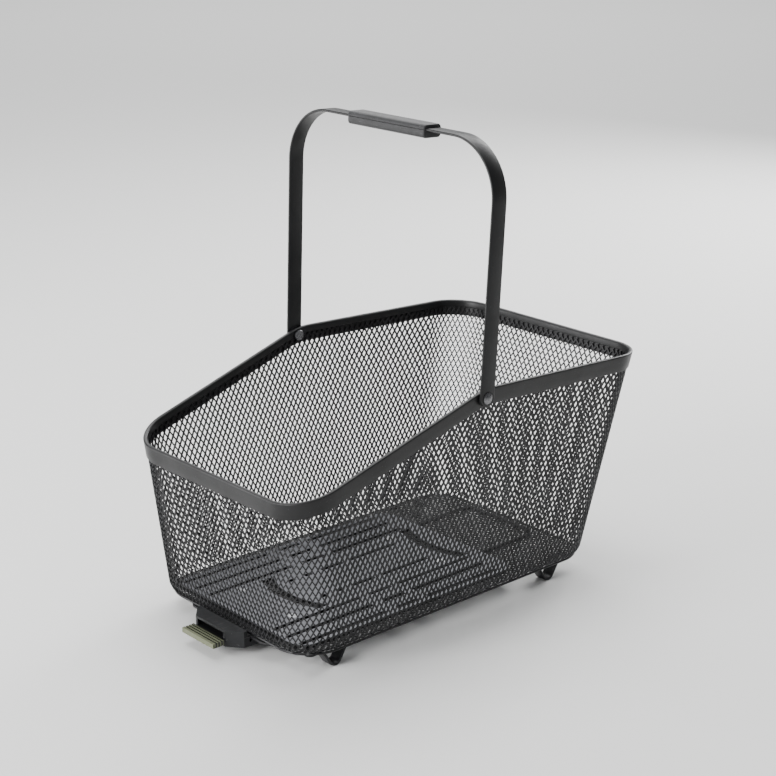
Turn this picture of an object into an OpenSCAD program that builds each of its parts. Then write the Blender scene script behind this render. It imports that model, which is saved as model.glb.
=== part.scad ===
// Wire mesh basket for a rear carrier, with a folding carrying handle and a quick-release adapter.
// +X points to the rear of the bicycle, +Y to its left, +Z up. The feet stand on z = 0.

/* [Basket] */
// Length of the base
base_len = 360; // [350:1:370]
// Width of the base
base_w = 217; // [210:1:225]
// Corner radius of the body seen from above
corner_r = 39; // [34:1:44]
// How far the front wall leans out per millimetre of height
front_flare = 0.091; // [0.06:0.001:0.12]
// How far the rear wall leans out per millimetre of height
rear_flare = 0.224; // [0.2:0.001:0.25]
// How far each side wall leans out per millimetre of height
side_flare = 0.1; // [0.08:0.01:0.12]
// Height of the rim above the base at the front
front_h = 142; // [136:1:148]
// Height of the rim above the base at its highest point, near the pivots
peak_h = 204.5; // [200:0.5:208]
// Height of the rim above the base at the rear
rear_h = 195.5; // [192:0.5:199]
// Thickness of the expanded metal sheet
sheet_t = 1.2; // [1:0.1:1.3]
// Bend radius between the walls and the floor
floor_bend = 7; // [5:0.5:8]
// Diameter of the wire round the floor
edge_wire_d = 2.4; // [2.2:0.1:2.6]
// Diameter of the stiffening wire across the rear of the floor
loop_wire_d = 4; // [3:0.1:4.5]

/* [Rim band] */
// Height of the band's outer leg
band_h = 15.4; // [14:0.1:17]
// Height of the band's inner leg
band_inner_h = 6.5; // [5:0.1:7]
// Thickness of the band's steel
band_t = 1.3; // [1.2:0.1:1.4]

/* [Handle] */
// Place of the pivots along the base, from its middle
pivot_x = 7; // [5:1:9]
// Depth of the pivots under the rim
pivot_drop = 7.7; // [7.5:0.1:8]
// Height of the handle's strap above the pivots
handle_h = 219; // [218.5:0.5:220]
// Width of the handle's steel strap
strap_w = 16.5; // [16:0.5:18]
// Thickness of the handle's steel strap
strap_t = 2.5; // [2:0.1:2.5]
// Radius of the handle's two top bends
handle_bend = 50; // [45:1:54]
// Angle by which the handle leans to the rear where its friction holds it
rest_lean = 2.7; // [0:0.1:4]
// Angle by which each leg leans outwards
leg_splay = 0.7; // [0.5:0.1:0.9]
// Length of the grip
grip_len = 100; // [92:1:108]
// Width of the grip
grip_w = 20.5; // [20:0.5:22]
// Radius of the pivot rivets' shanks
rivet_r = 3; // [2.5:0.1:3]

/* [Feet] */
// Height of the base above the surface that the feet stand on
foot_h = 18.5; // [18.3:0.1:20]
// Width of the feet's strap
foot_w = 12; // [10:1:13]
// Thickness of the feet's strap
foot_t = 2.5; // [2:0.1:3]
// Width of a foot's loop at its top
foot_span = 29; // [27:1:31]

/* [Adapter] */
// Length of the slotted plate inside the basket
plate_len = 256; // [250:1:258]
// Width of the slotted plate inside the basket
plate_w = 182; // [180:1:184]
// Thickness of the slotted plate
plate_t = 3; // [3:0.1:3.2]
// Radius of the carrier tubes that the adapter clamps
tube_r = 5; // [4.8:0.1:5]
// Distance that the bolt draws back when the lever is lifted fully
bolt_travel = 5.4; // [5.3:0.1:5.5]

/* [Hidden] */
$fn = 48;
base_x = -6.9;
kink_x = 10;
pivot_z = peak_h - pivot_drop;
front_rim_x = -(base_len / 2 + front_flare * front_h);
rear_rim_x = base_len / 2 + rear_flare * rear_h;
front_slope = (peak_h - front_h) / (kink_x - front_rim_x);
rear_slope = (rear_h - peak_h) / (rear_rim_x - kink_x);
kink_blend = 4;
wire_out = 2.8;

// Grip, across the strap: its height over and under the strap's middle, its corners, and its screws' places.
grip_above = 4.3;
grip_below = 7.4;
grip_r = 3.4;
grip_screw_y = 36;

// Slotted plate: its front edge, the height of its underside, and its rows of slots.
plate_front = -168;
plate_z = sheet_t + 0.05;
slot_w = 5;
side_slots = [[-164, -66], [-54, -28], [-18, 70]];
side_slot_rows = [47, 66, 84];
middle_slots = [[-90, -83], [-72, -63], [-52, -26], [-17, 40]];
middle_slot_row = 22.5;
screw_x = [-133, 45];
screw_y = 36;
screw_r = 2.5;

// Under the floor: the adapter's base, the tube seats and the latch.
flange_front = -178;
flange_w = 116;
flange_top = -0.2;
flange_bottom = -4;
seat_r = tube_r + 0.2;
seat_z = -10.7;
front_tube_x = -117;
rear_tube_x = 70;
lever_pin_x = -178;
lever_pin_z = -5.6;
lever_pin_r = 1.5;
nose_front = -196;
nose_top = 4;
nose_bottom = -11;
mouth_w = 37;
claw_y = 35;
claw_w = 18;

steel_black = "#3a3a3c";
mesh_grey = "#4a4a4d";
plastic_grey = "#606063";
cover_grey = "#77787a";
lever_green = "#b9c2a2";
bright_steel = "#b8babd";
rubber_black = "#242426";

// ---- The body's outline. Heights are above the base; every length is in the base's own frame. ----

// Height of the rim over a place along the base: two straight slopes that meet in a small bend.
function rim_over(x) =
    let (front = front_h + front_slope * (x - front_rim_x),
         rear = peak_h + rear_slope * (x - kink_x),
         near = max(kink_blend - abs(front - rear), 0))
    min(front, rear) - near * near / (4 * kink_blend);

// Stations round the outline, as [end, side, angle, share]. A corner has end +1 or -1 and its angle;
// a side has end 0 and the share of the way from the front corner to the rear corner.
corner_steps = 8;
side_steps = 16;
stations = concat(
    [for (i = [0:corner_steps]) [1, 1, 90 * i / corner_steps, 0]],
    [for (i = [side_steps - 1:-1:1]) [0, 1, 90, i / side_steps]],
    [for (i = [corner_steps:-1:0]) [-1, 1, 90 * i / corner_steps, 0]],
    [for (i = [0:corner_steps]) [-1, -1, 90 * i / corner_steps, 0]],
    [for (i = [1:side_steps - 1]) [0, -1, 90, i / side_steps]],
    [for (i = [corner_steps:-1:0]) [1, -1, 90 * i / corner_steps, 0]]);

function corner_x(end, h) = end * (base_len / 2 + (end > 0 ? rear_flare : front_flare) * h - corner_r);
function corner_y(h) = base_w / 2 + side_flare * h - corner_r;

// The point of the outline at a station, at height h and moved outwards by the given distance.
function outline(s, h, out) =
    s[0] == 0
    ? [corner_x(-1, h) + (corner_x(1, h) - corner_x(-1, h)) * s[3], s[1] * (corner_y(h) + corner_r + out), h]
    : [corner_x(s[0], h) + s[0] * (corner_r + out) * cos(s[2]),
       s[1] * (corner_y(h) + (corner_r + out) * sin(s[2])), h];

// Height of the rim at a station, found by repeating until the height and the place agree.
function rim_at(s, h = front_h, passes = 6) =
    passes == 0 ? h : rim_at(s, rim_over(outline(s, h, 0)[0]), passes - 1);

// A closed ring: one closed section at each station, joined to the next one round.
module ring(sections) {
    n = len(sections);
    m = len(sections[0]);
    polyhedron(
        points = [for (section = sections) each section],
        faces = [for (i = [0:n - 1], j = [0:m - 1])
            let (a = i * m + j, b = i * m + (j + 1) % m,
                 c = ((i + 1) % n) * m + (j + 1) % m, d = ((i + 1) % n) * m + j)
            each [[a, c, b], [a, d, c]]],
        convexity = 6);
}

// Everything is drawn in the base's frame and then set on its feet.
module placed() translate([base_x, 0, foot_h]) children();

module both_sides() {
    children();
    mirror([0, 1, 0]) children();
}

// Holes for the pivot rivets, through whatever is at the pivots.
module pivot_holes(r) {
    translate([pivot_x, 0, pivot_z]) rotate([90, 0, 0]) cylinder(r = r, h = 2 * base_w, center = true);
}

module round_rect(x0, x1, w, r) {
    translate([x0 + r, -w / 2]) square([x1 - x0 - 2 * r, w]);
    translate([x0, -w / 2 + r]) square([x1 - x0, w - 2 * r]);
    for (x = [x0 + r, x1 - r], y = [-w / 2 + r, w / 2 - r]) translate([x, y]) circle(r);
}

// ---- Body of the basket ----

// Folded steel strip over the top edge: a tall outer leg and a short inner leg.
module rim_band() {
    gap = 2 * band_t + 1.5;
    section = [[0, band_h], [0, 1.2], [-0.4, 0.3], [-1.2, 0], [1.2 - gap, 0], [0.4 - gap, 0.3], [-gap, 1.2],
        [-gap, band_inner_h], [band_t - gap, band_inner_h], [band_t - gap, band_t], [-band_t, band_t],
        [-band_t, band_h]];
    color(steel_black) placed() difference() {
        ring([for (s = stations) let (top = rim_at(s)) [for (p = section) outline(s, top - p[1], p[0])]]);
        pivot_holes(rivet_r + 0.05);
    }
}

// Walls of expanded metal, drawn as a closed thin sheet, with the bend down to the floor.
module mesh_wall() {
    bend_steps = 4;
    angles = [for (i = [0:bend_steps]) 90 * i / bend_steps];
    inner_bend = floor_bend - sheet_t;
    top_in = -band_t - 0.2;
    top_down = band_t + 0.3;
    color(mesh_grey) placed() difference() {
        ring([for (s = stations) concat(
            [for (a = angles) outline(s, floor_bend * (1 - cos(a)), floor_bend * (sin(a) - 1))],
            [outline(s, rim_at(s) - top_down, top_in)],
            [outline(s, rim_at(s) - top_down, top_in - sheet_t)],
            [for (i = [bend_steps:-1:0])
                outline(s, floor_bend - inner_bend * cos(angles[i]),
                    inner_bend * sin(angles[i]) - floor_bend)])]);
        pivot_holes(rivet_r + 0.05);
    }
}

// Floor of expanded metal, welded to the walls' bend.
module mesh_floor() {
    edge = [for (s = stations) let (p = outline(s, 0, -floor_bend)) [p[0], p[1]]];
    color(mesh_grey) placed() difference() {
        linear_extrude(sheet_t) polygon(edge);
        for (x = screw_x, y = [-screw_y, screw_y]) translate([x, y, -1]) cylinder(r = screw_r + 0.2, h = 4);
    }
}

// A wire bent into a rectangle with round corners, lying flat. The open form leaves its front side out.
module wire_rectangle(x0, x1, w, bend, d, closed) {
    r = d / 2;
    for (y = [-w / 2, w / 2])
        translate([x0 + (closed ? bend : 0), y, 0]) rotate([0, 90, 0])
            cylinder(r = r, h = x1 - x0 - bend * (closed ? 2 : 1));
    for (x = closed ? [x0, x1] : [x1])
        translate([x, 0, 0]) rotate([90, 0, 0]) cylinder(r = r, h = w - 2 * bend, center = true);
    for (end = closed ? [-1, 1] : [1], side = [-1, 1])
        translate([end > 0 ? x1 - bend : x0 + bend, side * (w / 2 - bend), 0])
            scale([end, side, 1]) rotate_extrude(angle = 90) translate([bend, 0]) circle(r);
}

// Wire welded round the floor, under the bend between the walls and the floor. A groove for it has a gap.
module floor_wire(gap) {
    reach = floor_bend + edge_wire_d / 2 + 0.05;
    inset = floor_bend - wire_out;
    translate([0, 0, floor_bend - sqrt(reach * reach - wire_out * wire_out)])
        wire_rectangle(inset - base_len / 2, base_len / 2 - inset, base_w - 2 * inset, corner_r - inset,
            edge_wire_d + 2 * gap, true);
}

module edge_wire() {
    color(steel_black) placed() floor_wire(0);
}

// Wire that stiffens the rear of the floor, behind the slotted plate.
module loop_wire() {
    color(steel_black) placed() translate([0, 0, sheet_t + loop_wire_d / 2])
        wire_rectangle(plate_front + plate_len + 1, 161, 92, 9, loop_wire_d, false);
}

// ---- Feet: a flat strap bent into a loop, with a tab on each side that is welded under the floor ----

// Half a loop's outline, from its middle: a round bottom and a leg that runs out to the top.
module loop_shape(r, half_span, centre) {
    away = atan2(-centre, half_span);
    touch = away - acos(r / norm([half_span, centre]));
    translate([0, centre]) circle(r);
    polygon([[-half_span, 0], [-r * cos(touch), centre + r * sin(touch)],
        [r * cos(touch), centre + r * sin(touch)], [half_span, 0]]);
}

module foot(x, side) {
    bottom_r = 8;
    flat = 0.3;
    tab = 14;
    centre = bottom_r - flat - foot_h;
    color(steel_black) placed() difference() {
        translate([x, side * 94 + foot_w / 2, 0]) rotate([90, 0, 0]) linear_extrude(foot_w) difference() {
            union() {
                loop_shape(bottom_r, foot_span / 2, centre);
                translate([-foot_span / 2 - tab, -foot_t]) square([foot_span + 2 * tab, foot_t]);
            }
            loop_shape(bottom_r - foot_t, foot_span / 2 - foot_t - 0.3, centre);
            translate([-bottom_r, -foot_h - 2]) square([2 * bottom_r, 2]);
        }
        floor_wire(0.15);
    }
}

module foot_front_left() foot(-138, 1);
module foot_front_right() foot(-138, -1);
module foot_rear_left() foot(125, 1);
module foot_rear_right() foot(125, -1);

// ---- Adapter: the slotted plate above the floor and the clamping base below it ----

// A slot that follows an arc about a centre on the middle line, given by its middle and half its chord.
module arc_slot(middle_x, half_chord, rise, w) {
    r = (half_chord * half_chord + rise * rise) / (2 * rise);
    translate([middle_x + r, 0, 0]) intersection() {
        difference() {
            cylinder(r = r + w / 2, h = 10, $fn = 120);
            translate([0, 0, -1]) cylinder(r = r - w / 2, h = 12, $fn = 120);
        }
        translate([-r - w, -half_chord, 0]) cube([rise + 2 * w, 2 * half_chord, 10]);
    }
}

module adapter_plate() {
    rear = plate_front + plate_len;
    color(plastic_grey) placed() difference() {
        translate([0, 0, plate_z]) linear_extrude(plate_t) round_rect(plate_front, rear, plate_w, 16);
        for (y = side_slot_rows, side = [-1, 1], run = side_slots)
            translate([run[0], side * y - slot_w / 2, 0]) cube([run[1] - run[0], slot_w, 10]);
        for (side = [-1, 1], run = middle_slots)
            translate([run[0], side * middle_slot_row - slot_w / 2, 0]) cube([run[1] - run[0], slot_w, 10]);
        arc_slot(60, 42, 11, 11);
        arc_slot(-112, 40, 11, 11);
        for (x = screw_x, y = [-screw_y, screw_y]) translate([x, y, 0]) {
            cylinder(r = screw_r + 0.05, h = 10);
            translate([0, 0, plate_z + 1.2]) cylinder(r = 4.6, h = 10);
        }
    }
}

module adapter_base() {
    rear = plate_front + plate_len;
    color(plastic_grey) placed() difference() {
        union() {
            translate([0, 0, flange_bottom]) linear_extrude(flange_top - flange_bottom)
                round_rect(flange_front, rear, flange_w, 10);
            translate([front_tube_x - 8.5, -30, seat_z]) cube([17, 60, flange_bottom - seat_z]);
            for (y = [-20, 20]) translate([front_tube_x + 8, y - 1.5, -8]) cube([160, 3, 4]);
            for (x = screw_x, y = [-screw_y, screw_y]) translate([x, y, -7]) cylinder(r = 6, h = 3);
        }
        translate([flange_front - 1, -19, -6]) cube([24, 38, 8]);
        translate([flange_front - 1, -flange_w, -2.1]) cube([4.8, 2 * flange_w, 3]);
        translate([front_tube_x, 0, seat_z]) rotate([90, 0, 0]) cylinder(r = seat_r, h = 62, center = true);
        for (x = screw_x, y = [-screw_y, screw_y]) translate([x, y, -8]) cylinder(r = screw_r + 0.05, h = 10);
        for (y = [-1, 1], dy = [-4, 4]) translate([81, y * claw_y + dy, -5]) {
            cylinder(r = 1.55, h = 6);
            translate([0, 0, 3.2]) cylinder(r = 2.9, h = 3);
        }
        for (y = [-26, 26]) translate([-166, y, -5]) cylinder(r = 1.55, h = 6);
        for (x = [-167, -158], y = [-22, 22]) translate([x, y, -5]) cylinder(r = 1.25, h = 6);
    }
}

module adapter_screws() {
    color(bright_steel) placed() for (x = screw_x, y = [-screw_y, screw_y]) translate([x, y, 0]) {
        translate([0, 0, -12]) cylinder(r = screw_r, h = 12 + plate_z + 1.3);
        difference() {
            translate([0, 0, plate_z + 1.2]) cylinder(r = 4.5, h = 1.7);
            translate([0, 0, plate_z + 2]) cylinder(r = 1.7, h = 2, $fn = 6);
        }
    }
}

module adapter_nuts() {
    color(bright_steel) placed()
        for (x = screw_x, y = [-screw_y, screw_y]) translate([x, y, -11]) difference() {
            cylinder(r = 4.6, h = 4, $fn = 6);
            translate([0, 0, -1]) cylinder(r = screw_r + 0.05, h = 6);
        }
}

// Rubber pads that rest on the carrier's two rails.
module rack_pads() {
    color(rubber_black) placed() for (x = [-88, 35], y = [-51, 51])
        translate([x - 16, y - 5, flange_bottom - 1.6]) cube([32, 10, 1.6]);
}

// Claw that hooks round the carrier's rear cross tube, open towards the front.
module rear_claw(side) {
    color(plastic_grey) placed()
        translate([0, side * claw_y + claw_w / 2, 0]) rotate([90, 0, 0]) difference() {
            linear_extrude(claw_w) difference() {
                translate([rear_tube_x - 6, -17.9]) square([21, 17.9 + flange_bottom]);
                translate([rear_tube_x, seat_z]) circle(seat_r);
                translate([rear_tube_x - 8, seat_z - seat_r]) square([8, 2 * seat_r]);
                translate([rear_tube_x + 12, -18.5]) rotate([0, 0, 45]) square([8, 4], center = true);
            }
            for (dy = [-4, 4]) translate([81, -10, claw_w / 2 + dy]) rotate([-90, 0, 0])
                cylinder(r = 1.5, h = 7);
        }
}

module rear_claw_left() rear_claw(1);
module rear_claw_right() rear_claw(-1);

module claw_screws() {
    color(bright_steel) placed() for (side = [-1, 1], dy = [-4, 4]) translate([81, side * claw_y + dy, 0]) {
        translate([0, 0, -9.9]) cylinder(r = 1.48, h = 8.2);
        translate([0, 0, -1.8]) cylinder(r = 2.8, h = 1.4);
    }
}

// ---- Latch: a lever in the nose draws back a bolt that lies under the carrier's front cross tube ----

// Seen from above, the nose is a box whose front corners are cut off.
module nose_shape() {
    polygon([[nose_front, -21], [nose_front, 21], [-185, 34], [-160, 34], [-160, -34], [-185, -34]]);
}

module latch_cover() {
    color(cover_grey) placed() difference() {
        union() {
            translate([0, 0, nose_bottom]) linear_extrude(flange_bottom - 0.05 - nose_bottom) nose_shape();
            intersection() {
                translate([0, 0, nose_bottom]) linear_extrude(nose_top - nose_bottom) nose_shape();
                translate([nose_front - 1, -40, nose_bottom]) cube([-181.5 - nose_front + 1, 80, 20]);
            }
            intersection() {
                translate([0, 0, nose_bottom]) linear_extrude(-0.3 - nose_bottom) nose_shape();
                translate([nose_front, -40, nose_bottom]) cube([flange_front - 0.5 - nose_front, 80, 20]);
            }
        }
        translate([nose_front - 1, -mouth_w / 2, -9]) cube([13.5, mouth_w, 10.8]);
        translate([nose_front + 12, -mouth_w / 2, -9]) cube([30, mouth_w, 7.1]);
        translate([-176, -15, nose_bottom - 1]) cube([20, 30, 5]);
        translate([-162, -mouth_w / 2, nose_bottom - 1]) cube([4, mouth_w, 10]);
        translate([lever_pin_x, 0, lever_pin_z]) rotate([90, 0, 0])
            cylinder(r = lever_pin_r + 0.02, h = 80, center = true);
        for (y = [-26, 26]) translate([-166, y, nose_bottom - 1]) {
            cylinder(r = 1.55, h = 9);
            cylinder(r = 3, h = 2.8);
        }
    }
}

module cover_screws() {
    color(bright_steel) placed() for (y = [-26, 26]) translate([-166, y, 0]) {
        translate([0, 0, nose_bottom + 0.2]) cylinder(r = 2.8, h = 1.5);
        translate([0, 0, nose_bottom + 1.6]) cylinder(r = 1.5, h = -0.6 - nose_bottom - 1.6);
    }
}

// The lever's paddle sticks out of the nose; its arm runs back to a finger that presses on the bolt's ramp.
module latch_lever() {
    finger = [-161.5, -9.1];
    finger_r = 1.5;
    neck_w = mouth_w - 2;
    color(lever_green) placed() difference() {
        union() {
            translate([-209.9, -22.5, -8]) cube([12.4, 45, 4.4]);
            translate([-198, -neck_w / 2, -7.8]) cube([20, neck_w, 4.2]);
            translate([lever_pin_x, 0, lever_pin_z]) rotate([90, 0, 0])
                cylinder(r = 2.8, h = neck_w, center = true);
            translate([lever_pin_x, -6, -6.4]) cube([finger[0] + finger_r - lever_pin_x, 12, 3]);
            translate([finger[0] - finger_r, -6, finger[1]]) cube([2 * finger_r, 12, 4]);
            translate([finger[0], 0, finger[1]]) rotate([90, 0, 0])
                cylinder(r = finger_r, h = 12, center = true);
        }
        translate([lever_pin_x, 0, lever_pin_z]) rotate([90, 0, 0])
            cylinder(r = lever_pin_r + 0.08, h = neck_w + 2, center = true);
        translate([-187, 7.5, -12]) cube([16, 7, 12]);
        for (x = [-207, -204, -201]) translate([x, -30, -4.3]) cube([1.2, 60, 2]);
    }
}

module lever_pin() {
    color(bright_steel) placed() translate([lever_pin_x, 0, lever_pin_z]) rotate([90, 0, 0])
        cylinder(r = lever_pin_r, h = 60, center = true);
}

// Torsion spring on the pin: a close coil, one leg on the cover's floor and one under the floor's sheet.
module lever_spring() {
    wire_r = 0.45;
    coil_w = 4.4;
    outer_r = 2.75;
    color(bright_steel) placed() translate([lever_pin_x, 11, lever_pin_z]) {
        rotate([90, 0, 0]) difference() {
            cylinder(r = outer_r, h = coil_w, center = true);
            cylinder(r = outer_r - 2 * wire_r, h = coil_w + 2, center = true);
        }
        translate([0, -1.7, wire_r - outer_r]) rotate([0, -90, 0]) cylinder(r = wire_r, h = 6);
        translate([0, 1.7, outer_r - wire_r]) rotate([0, 90, 0]) cylinder(r = wire_r, h = 6);
    }
}

// The bolt slides under the tube; its ramp lies below the lever's finger.
module latch_bolt() {
    bottom = -17.2;
    spare = 0.3;
    tip = front_tube_x - tube_r - spare + bolt_travel;
    color(bright_steel) placed() translate([0, 12, 0]) rotate([90, 0, 0]) linear_extrude(24)
        polygon([[-169.5, bottom], [front_tube_x - 3, bottom], [tip, bottom + 0.5], [tip, -16.1],
            [front_tube_x - 6, -16.1], [front_tube_x - 6.5, -15.5], [-157.5, -15.5], [-164, -9],
            [-169.5, -9]]);
}

// Steel channel that the bolt slides in.
module bolt_guide() {
    color(steel_black) placed() both_sides() {
        translate([-171, 12.3, -18.2]) cube([40, 1.5, 14.1]);
        translate([-171, 10, -18.2]) cube([40, 3, 0.8]);
        difference() {
            translate([-171, 12.3, -12.6]) cube([16, 12.7, 1.5]);
            for (x = [-167, -158]) translate([x, 22, -13]) cylinder(r = 1.25, h = 3);
        }
    }
}

module guide_screws() {
    color(bright_steel) placed() for (x = [-167, -158], y = [-22, 22]) translate([x, y, 0]) {
        translate([0, 0, -14]) cylinder(r = 2.2, h = 1.35);
    }
}

// ---- Handle ----

// Half of the handle's edge, at a distance out from the middle of the strap: the leg's end, then the bend.
function bail_edge(out) =
    let (y0 = base_w / 2 + side_flare * pivot_z + 2.65,
         low = handle_h - handle_bend,
         bend_y = y0 + tan(leg_splay) * low - handle_bend / cos(leg_splay),
         r = handle_bend + out,
         steps = 16)
    concat([[y0 - sin(leg_splay) * strap_w + cos(leg_splay) * out,
             -cos(leg_splay) * strap_w - sin(leg_splay) * out]],
        [for (i = [0:steps]) let (a = -leg_splay + (90 + leg_splay) * i / steps)
            [bend_y + r * cos(a), low + r * sin(a)]]);

function mirrored(points) = [for (i = [len(points) - 1:-1:0]) [-points[i][0], points[i][1]]];
function reversed(points) = [for (i = [len(points) - 1:-1:0]) points[i]];

// The handle's own frame: its origin is between the pivots, and it leans as it rests.
module handle_frame() placed() translate([pivot_x, 0, pivot_z]) rotate([0, rest_lean, 0]) children();

module handle_bail() {
    color(steel_black) handle_frame() difference() {
        rotate([90, 0, 90]) translate([0, 0, -strap_w / 2]) linear_extrude(strap_w)
            let (outer = bail_edge(strap_t / 2), inner = bail_edge(-strap_t / 2))
            polygon(concat(outer, mirrored(outer), reversed(concat(inner, mirrored(inner)))));
        rotate([90, 0, 0]) cylinder(r = rivet_r + 0.05, h = 2 * base_w, center = true);
        difference() {
            translate([-strap_w, -base_w, -2 * strap_w]) cube([2 * strap_w, 2 * base_w, 2 * strap_w]);
            rotate([90, 0, 0]) cylinder(r = strap_w / 2 + 0.6, h = 2 * base_w + 2, center = true);
        }
        for (y = [-grip_screw_y, grip_screw_y]) translate([0, y, handle_h - 4]) cylinder(r = 1.7, h = 8);
    }
}

// The grip's outline across the strap, with the slot that the strap lies in.
module grip_shape() {
    difference() {
        translate([0, (grip_above - grip_below) / 2])
            round_rect(-grip_w / 2, grip_w / 2, grip_above + grip_below, grip_r);
        translate([-strap_w / 2 - 0.05, -strap_t / 2 - 0.05]) square([strap_w + 0.1, strap_t + 0.1]);
    }
}

module grip_half(up) {
    translate([0, grip_len / 2, handle_h]) rotate([90, 0, 0]) linear_extrude(grip_len)
        intersection() {
            grip_shape();
            translate([-grip_w, up ? 0.02 : -20]) square([2 * grip_w, 20]);
        }
}

module grip_upper() {
    color(rubber_black) handle_frame() difference() {
        grip_half(true);
        for (y = [-grip_screw_y, grip_screw_y]) translate([0, y, handle_h - 1]) cylinder(r = 1.55, h = 3.8);
    }
}

module grip_lower() {
    color(rubber_black) handle_frame() difference() {
        grip_half(false);
        for (y = [-grip_screw_y, grip_screw_y]) translate([0, y, handle_h - grip_below]) {
            translate([0, 0, -1]) cylinder(r = 1.55, h = 12);
            translate([0, 0, -1]) cylinder(r = 3, h = 3.5);
        }
    }
}

module grip_screws() {
    color(bright_steel) handle_frame() for (y = [-grip_screw_y, grip_screw_y]) translate([0, y, handle_h]) {
        translate([0, 0, 0.8 - grip_below]) cylinder(r = 2.8, h = 1.7);
        translate([0, 0, 2.4 - grip_below]) cylinder(r = 1.5, h = grip_below);
    }
}

// Rivets that the handle turns on: a domed head outside and a flat one inside.
module pivot_rivets() {
    leg_out = base_w / 2 + side_flare * pivot_z + 2.65 + strap_t / 2 + 0.15;
    wall_in = base_w / 2 + side_flare * pivot_z - 2 * band_t - 1.5 - 0.6;
    head_r = 5.5;
    dome_r = 9;
    color(bright_steel) placed() both_sides() translate([pivot_x, 0, pivot_z]) {
        translate([0, wall_in - 0.1, 0]) rotate([-90, 0, 0])
            cylinder(r = rivet_r, h = leg_out - wall_in + 0.2);
        translate([0, wall_in - 1.4, 0]) rotate([-90, 0, 0]) cylinder(r = 5, h = 1.4);
        intersection() {
            translate([0, leg_out, 0]) rotate([-90, 0, 0]) cylinder(r = head_r, h = 4);
            translate([0, leg_out + 2 - dome_r, 0]) sphere(dome_r);
        }
    }
}

// Nylon washers between the band and the handle, cut to the slope of the wall. Their drag holds the
// handle up.
module pivot_washers() {
    leg_in = base_w / 2 + side_flare * pivot_z + 2.65 - strap_t / 2 - 0.15;
    color(rubber_black) placed() both_sides() difference() {
        translate([pivot_x, leg_in, pivot_z]) rotate([90, 0, 0]) difference() {
            cylinder(r = 7, h = 4);
            translate([0, 0, -1]) cylinder(r = rivet_r + 0.05, h = 6);
        }
        translate([0, base_w / 2 + 0.03, 0]) rotate([-atan(side_flare), 0, 0])
            translate([-50, -60, -20]) cube([100, 60, 300]);
    }
}

rim_band();
mesh_wall();
mesh_floor();
edge_wire();
loop_wire();
foot_front_left();
foot_front_right();
foot_rear_left();
foot_rear_right();
adapter_plate();
adapter_base();
adapter_screws();
adapter_nuts();
rack_pads();
rear_claw_left();
rear_claw_right();
claw_screws();
bolt_guide();
guide_screws();
latch_cover();
cover_screws();
latch_lever();
lever_pin();
lever_spring();
latch_bolt();
handle_bail();
grip_upper();
grip_lower();
grip_screws();
pivot_rivets();
pivot_washers();
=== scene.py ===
# %% [markdown]
# # A mesh basket for a bicycle's rear carrier
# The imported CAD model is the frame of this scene. It is loaded first, and every new piece is placed by it.
# Lengths are worked out in millimetres, as on a drawing, and turned to metres when a mesh is made.

# %% Load the frame
import math

import bmesh
import bpy
import numpy as np
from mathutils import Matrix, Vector


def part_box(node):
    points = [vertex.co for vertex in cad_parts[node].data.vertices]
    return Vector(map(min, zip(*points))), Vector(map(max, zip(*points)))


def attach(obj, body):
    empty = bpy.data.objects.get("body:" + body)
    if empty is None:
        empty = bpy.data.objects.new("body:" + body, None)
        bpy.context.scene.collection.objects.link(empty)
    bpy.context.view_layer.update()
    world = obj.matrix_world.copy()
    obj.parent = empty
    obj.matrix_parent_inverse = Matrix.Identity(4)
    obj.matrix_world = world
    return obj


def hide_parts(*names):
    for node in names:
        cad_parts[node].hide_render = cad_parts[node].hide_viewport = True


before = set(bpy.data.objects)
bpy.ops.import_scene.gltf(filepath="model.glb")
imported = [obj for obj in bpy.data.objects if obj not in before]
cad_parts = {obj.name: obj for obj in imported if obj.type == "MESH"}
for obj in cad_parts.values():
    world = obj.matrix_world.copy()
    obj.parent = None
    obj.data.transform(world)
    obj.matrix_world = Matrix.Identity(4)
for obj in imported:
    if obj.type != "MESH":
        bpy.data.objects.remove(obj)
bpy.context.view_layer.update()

# %% [markdown]
# ## The body's outline
# Seen from above the body is a rectangle with round corners, and it leans outwards on every side.
# One function gives its surface: a place round the outline, a height, and a distance outwards. The mesh,
# the rim and the rivets all use it, so they fit each other without any adjustment by eye.

# %% The outline's numbers and formula
BASE_LEN, BASE_W, CORNER = 360.0, 217.0, 39.0
FRONT_FLARE, REAR_FLARE, SIDE_FLARE = 0.091, 0.224, 0.1
FRONT_H, PEAK_H, REAR_H = 142.0, 204.5, 195.5
KINK_X, PIVOT_X, PIVOT_Z = 10.0, 7.0, PEAK_H - 7.7
SHEET_T, FLOOR_BEND, BAND_T = 1.2, 7.0, 1.3

floor_low, floor_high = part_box("mesh_floor")
BASE_ORIGIN = 1000 * np.array([(floor_low[0] + floor_high[0]) / 2, 0, floor_low[2]])

side_run, end_run, turn = BASE_LEN - 2 * CORNER, BASE_W - 2 * CORNER, math.pi / 2 * CORNER
BREAKS = np.cumsum([0, end_run / 2, turn, side_run, turn, end_run, turn, side_run, turn, end_run / 2])
AROUND = BREAKS[-1]


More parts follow.
